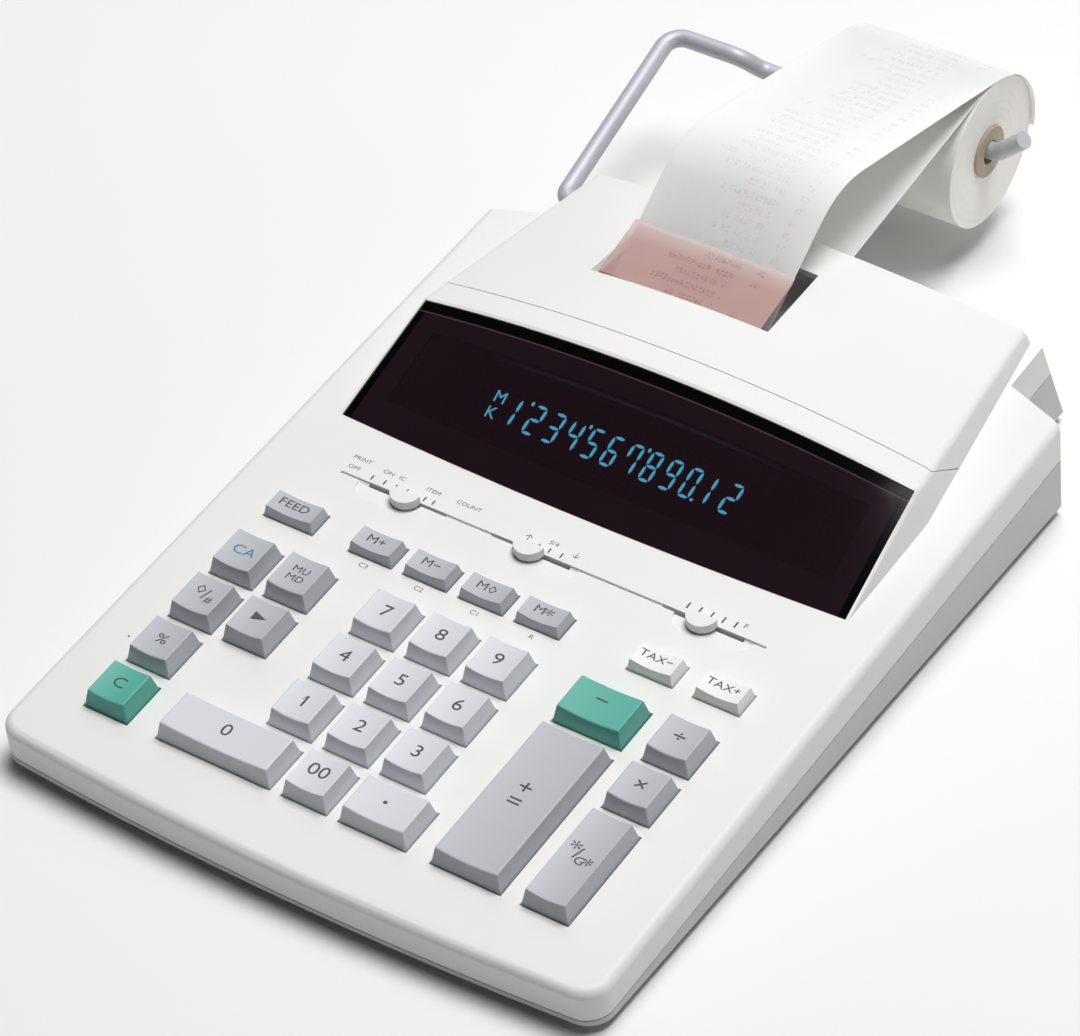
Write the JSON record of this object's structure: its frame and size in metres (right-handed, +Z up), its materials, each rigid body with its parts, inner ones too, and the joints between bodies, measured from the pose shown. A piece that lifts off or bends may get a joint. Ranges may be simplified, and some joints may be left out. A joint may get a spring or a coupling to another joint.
{
  "type": "printing calculator",
  "caption": "Desktop printing calculator with a sloped key deck, slide switches, a raised digit display, a lift-off printer cover, and a paper roll on a swinging wire arm.",
  "frame": {"origin": "on the table under the middle of the whole object's bounding box", "axes": "+X to the user's right, +Y to the back, along the length, +Z up from the table"},
  "size_m": [0.21, 0.3944, 0.0756],
  "materials": {
    "shell": "fine satin warm white moulding",
    "lower_shell": "satin light grey moulding",
    "light_key": "satin pale grey moulding",
    "grey_key": "satin mid grey moulding",
    "green_key": "satin teal green moulding",
    "white_key": "satin white moulding",
    "dark_window": "polished dark smoked acrylic",
    "pink_window": "polished translucent pink",
    "wire": "satin silver grey paint",
    "paper": "uncoated",
    "core": "wound board",
    "rubber": "matte",
    "clear_rubber": "translucent silicone",
    "black_plastic": "satin",
    "circuit_board": "solder resist",
    "tube_glass": "polished",
    "steel": "plated",
    "nylon": "natural",
    "ink": "inked foam",
    "brass": "turned",
    "iron": "varnished"
  },
  "bodies": {
    "case": {"lower_case": "lower_shell", "upper_case": "shell", "display_window": "dark_window", "paper_tape": "paper", "paper_feed": "paper", "slide_switches": "black_plastic", "key_board": "circuit_board", "dome_sheet": "clear_rubber", "main_board": "circuit_board", "display_tube": "tube_glass", "display_holder": "black_plastic", "printer_frame": "steel", "printer_motor": "steel", "transformer": "iron", "rubber_feet": "rubber", "case_screws": "steel", "cord_gland": "rubber"},
    "arm": {"paper_arm": "wire"},
    "roll": {"paper_roll": "paper", "roll_core": "core"},
    "cover": {"printer_cover": "shell", "tear_window": "pink_window"},
    "slider_left": {"slider_left": "shell"},
    "slider_middle": {"slider_middle": "shell"},
    "slider_right": {"slider_right": "shell"},
    "feed": {"feed_roller": "rubber", "roller_gear": "nylon"},
    "pinion": {"motor_pinion": "brass"},
    "drum": {"print_drum": "black_plastic"},
    "ink": {"ink_roller": "ink"},
    "key_0": {"key_0": "light_key"},
    "key_00": {"key_00": "light_key"},
    "key_point": {"key_point": "light_key"},
    "key_1": {"key_1": "light_key"},
    "key_2": {"key_2": "light_key"},
    "key_3": {"key_3": "light_key"},
    "key_4": {"key_4": "light_key"},
    "key_5": {"key_5": "light_key"},
    "key_6": {"key_6": "light_key"},
    "key_7": {"key_7": "light_key"},
    "key_8": {"key_8": "light_key"},
    "key_9": {"key_9": "light_key"},
    "key_clear_all": {"key_clear_all": "grey_key"},
    "key_percent": {"key_percent": "grey_key"},
    "key_subtotal": {"key_subtotal": "grey_key"},
    "key_shift": {"key_shift": "grey_key"},
    "key_markup": {"key_markup": "grey_key"},
    "key_feed": {"key_feed": "grey_key"},
    "key_memory_plus": {"key_memory_plus": "grey_key"},
    "key_memory_minus": {"key_memory_minus": "grey_key"},
    "key_memory_subtotal": {"key_memory_subtotal": "grey_key"},
    "key_memory_total": {"key_memory_total": "grey_key"},
    "key_plus": {"key_plus": "grey_key"},
    "key_divide": {"key_divide": "grey_key"},
    "key_multiply": {"key_multiply": "grey_key"},
    "key_total": {"key_total": "grey_key"},
    "key_clear": {"key_clear": "green_key"},
    "key_minus": {"key_minus": "green_key"},
    "key_tax_minus": {"key_tax_minus": "white_key"},
    "key_tax_plus": {"key_tax_plus": "white_key"}
  },
  "joints": [
    {"name": "arm_swing", "type": "hinge", "parent": "case", "child": "arm", "pos_m": [-0.08, 0.08577, 0.03066], "axis": [1, 0, 0], "range_deg": [0, 95], "deforming": ["paper_tape", "paper_feed"]},
    {"name": "cover_lift", "type": "slide", "parent": "case", "child": "cover", "axis": [0, -0.0819, 0.9966], "range_m": [0, 0.0085]},
    {"name": "roll_spin", "type": "hinge", "parent": "arm", "child": "roll", "pos_m": [-0.0102, 0.17055, 0.03683], "axis": [1, 0, 0], "continuous": true},
    {"name": "slider_left_slide", "type": "slide", "parent": "case", "child": "slider_left", "axis": [1, 0, 0], "range_m": [-0.012, 0]},
    {"name": "slider_middle_slide", "type": "slide", "parent": "case", "child": "slider_middle", "axis": [1, 0, 0], "range_m": [0, 0.012]},
    {"name": "slider_right_slide", "type": "slide", "parent": "case", "child": "slider_right", "axis": [1, 0, 0], "range_m": [-0.004, 0.012]},
    {"name": "feed_spin", "type": "hinge", "parent": "case", "child": "feed", "pos_m": [-0.0164, 0.04777, 0.03838], "axis": [1, 0, 0], "continuous": true},
    {"name": "pinion_spin", "type": "hinge", "parent": "case", "child": "pinion", "pos_m": [0.022, 0.04397, 0.02449], "axis": [1, 0, 0], "continuous": true},
    {"name": "drum_spin", "type": "hinge", "parent": "case", "child": "drum", "pos_m": [-0.0164, 0.03695, 0.04034], "axis": [1, 0, 0], "continuous": true},
    {"name": "ink_spin", "type": "hinge", "parent": "case", "child": "ink", "pos_m": [-0.0164, 0.02721, 0.04301], "axis": [1, 0, 0], "continuous": true},
    {"name": "key_0_press", "type": "slide", "parent": "case", "child": "key_0", "axis": [0, -0.0819, 0.9966], "range_m": [-0.003, 0], "stiffness_N_per_m": 150, "springref_m": 0.002, "deforming": ["dome_sheet"]},
    {"name": "key_00_press", "type": "slide", "parent": "case", "child": "key_00", "axis": [0, -0.0819, 0.9966], "range_m": [-0.003, 0], "stiffness_N_per_m": 150, "springref_m": 0.002, "deforming": ["dome_sheet"]},
    {"name": "key_point_press", "type": "slide", "parent": "case", "child": "key_point", "axis": [0, -0.0819, 0.9966], "range_m": [-0.003, 0], "stiffness_N_per_m": 150, "springref_m": 0.002, "deforming": ["dome_sheet"]},
    {"name": "key_1_press", "type": "slide", "parent": "case", "child": "key_1", "axis": [0, -0.0819, 0.9966], "range_m": [-0.003, 0], "stiffness_N_per_m": 150, "springref_m": 0.002, "deforming": ["dome_sheet"]},
    {"name": "key_2_press", "type": "slide", "parent": "case", "child": "key_2", "axis": [0, -0.0819, 0.9966], "range_m": [-0.003, 0], "stiffness_N_per_m": 150, "springref_m": 0.002, "deforming": ["dome_sheet"]},
    {"name": "key_3_press", "type": "slide", "parent": "case", "child": "key_3", "axis": [0, -0.0819, 0.9966], "range_m": [-0.003, 0], "stiffness_N_per_m": 150, "springref_m": 0.002, "deforming": ["dome_sheet"]},
    {"name": "key_4_press", "type": "slide", "parent": "case", "child": "key_4", "axis": [0, -0.0819, 0.9966], "range_m": [-0.003, 0], "stiffness_N_per_m": 150, "springref_m": 0.002, "deforming": ["dome_sheet"]},
    {"name": "key_5_press", "type": "slide", "parent": "case", "child": "key_5", "axis": [0, -0.0819, 0.9966], "range_m": [-0.003, 0], "stiffness_N_per_m": 150, "springref_m": 0.002, "deforming": ["dome_sheet"]},
    {"name": "key_6_press", "type": "slide", "parent": "case", "child": "key_6", "axis": [0, -0.0819, 0.9966], "range_m": [-0.003, 0], "stiffness_N_per_m": 150, "springref_m": 0.002, "deforming": ["dome_sheet"]},
    {"name": "key_7_press", "type": "slide", "parent": "case", "child": "key_7", "axis": [0, -0.0819, 0.9966], "range_m": [-0.003, 0], "stiffness_N_per_m": 150, "springref_m": 0.002, "deforming": ["dome_sheet"]},
    {"name": "key_8_press", "type": "slide", "parent": "case", "child": "key_8", "axis": [0, -0.0819, 0.9966], "range_m": [-0.003, 0], "stiffness_N_per_m": 150, "springref_m": 0.002, "deforming": ["dome_sheet"]},
    {"name": "key_9_press", "type": "slide", "parent": "case", "child": "key_9", "axis": [0, -0.0819, 0.9966], "range_m": [-0.003, 0], "stiffness_N_per_m": 150, "springref_m": 0.002, "deforming": ["dome_sheet"]},
    {"name": "key_clear_all_press", "type": "slide", "parent": "case", "child": "key_clear_all", "axis": [0, -0.0819, 0.9966], "range_m": [-0.003, 0], "stiffness_N_per_m": 150, "springref_m": 0.002, "deforming": ["dome_sheet"]},
    {"name": "key_percent_press", "type": "slide", "parent": "case", "child": "key_percent", "axis": [0, -0.0819, 0.9966], "range_m": [-0.003, 0], "stiffness_N_per_m": 150, "springref_m": 0.002, "deforming": ["dome_sheet"]},
    {"name": "key_subtotal_press", "type": "slide", "parent": "case", "child": "key_subtotal", "axis": [0, -0.0819, 0.9966], "range_m": [-0.003, 0], "stiffness_N_per_m": 150, "springref_m": 0.002, "deforming": ["dome_sheet"]},
    {"name": "key_shift_press", "type": "slide", "parent": "case", "child": "key_shift", "axis": [0, -0.0819, 0.9966], "range_m": [-0.003, 0], "stiffness_N_per_m": 150, "springref_m": 0.002, "deforming": ["dome_sheet"]},
    {"name": "key_markup_press", "type": "slide", "parent": "case", "child": "key_markup", "axis": [0, -0.0819, 0.9966], "range_m": [-0.003, 0], "stiffness_N_per_m": 150, "springref_m": 0.002, "deforming": ["dome_sheet"]},
    {"name": "key_feed_press", "type": "slide", "parent": "case", "child": "key_feed", "axis": [0, -0.0819, 0.9966], "range_m": [-0.003, 0], "stiffness_N_per_m": 150, "springref_m": 0.002, "deforming": ["dome_sheet"]},
    {"name": "key_memory_plus_press", "type": "slide", "parent": "case", "child": "key_memory_plus", "axis": [0, -0.0819, 0.9966], "range_m": [-0.003, 0], "stiffness_N_per_m": 150, "springref_m": 0.002, "deforming": ["dome_sheet"]},
    {"name": "key_memory_minus_press", "type": "slide", "parent": "case", "child": "key_memory_minus", "axis": [0, -0.0819, 0.9966], "range_m": [-0.003, 0], "stiffness_N_per_m": 150, "springref_m": 0.002, "deforming": ["dome_sheet"]},
    {"name": "key_memory_subtotal_press", "type": "slide", "parent": "case", "child": "key_memory_subtotal", "axis": [0, -0.0819, 0.9966], "range_m": [-0.003, 0], "stiffness_N_per_m": 150, "springref_m": 0.002, "deforming": ["dome_sheet"]},
    {"name": "key_memory_total_press", "type": "slide", "parent": "case", "child": "key_memory_total", "axis": [0, -0.0819, 0.9966], "range_m": [-0.003, 0], "stiffness_N_per_m": 150, "springref_m": 0.002, "deforming": ["dome_sheet"]},
    {"name": "key_plus_press", "type": "slide", "parent": "case", "child": "key_plus", "axis": [0, -0.0819, 0.9966], "range_m": [-0.003, 0], "stiffness_N_per_m": 150, "springref_m": 0.002, "deforming": ["dome_sheet"]},
    {"name": "key_divide_press", "type": "slide", "parent": "case", "child": "key_divide", "axis": [0, -0.0819, 0.9966], "range_m": [-0.003, 0], "stiffness_N_per_m": 150, "springref_m": 0.002, "deforming": ["dome_sheet"]},
    {"name": "key_multiply_press", "type": "slide", "parent": "case", "child": "key_multiply", "axis": [0, -0.0819, 0.9966], "range_m": [-0.003, 0], "stiffness_N_per_m": 150, "springref_m": 0.002, "deforming": ["dome_sheet"]},
    {"name": "key_total_press", "type": "slide", "parent": "case", "child": "key_total", "axis": [0, -0.0819, 0.9966], "range_m": [-0.003, 0], "stiffness_N_per_m": 150, "springref_m": 0.002, "deforming": ["dome_sheet"]},
    {"name": "key_clear_press", "type": "slide", "parent": "case", "child": "key_clear", "axis": [0, -0.0819, 0.9966], "range_m": [-0.003, 0], "stiffness_N_per_m": 150, "springref_m": 0.002, "deforming": ["dome_sheet"]},
    {"name": "key_minus_press", "type": "slide", "parent": "case", "child": "key_minus", "axis": [0, -0.0819, 0.9966], "range_m": [-0.003, 0], "stiffness_N_per_m": 150, "springref_m": 0.002, "deforming": ["dome_sheet"]},
    {"name": "key_tax_minus_press", "type": "slide", "parent": "case", "child": "key_tax_minus", "axis": [0, -0.0819, 0.9966], "range_m": [-0.003, 0], "stiffness_N_per_m": 150, "springref_m": 0.002, "deforming": ["dome_sheet"]},
    {"name": "key_tax_plus_press", "type": "slide", "parent": "case", "child": "key_tax_plus", "axis": [0, -0.0819, 0.9966], "range_m": [-0.003, 0], "stiffness_N_per_m": 150, "springref_m": 0.002, "deforming": ["dome_sheet"]}
  ],
  "couplings": [
    {"joint": "pinion_spin", "follows": "feed_spin", "ratio": -2.6},
    {"joint": "ink_spin", "follows": "drum_spin", "ratio": -1.0417}
  ]
}
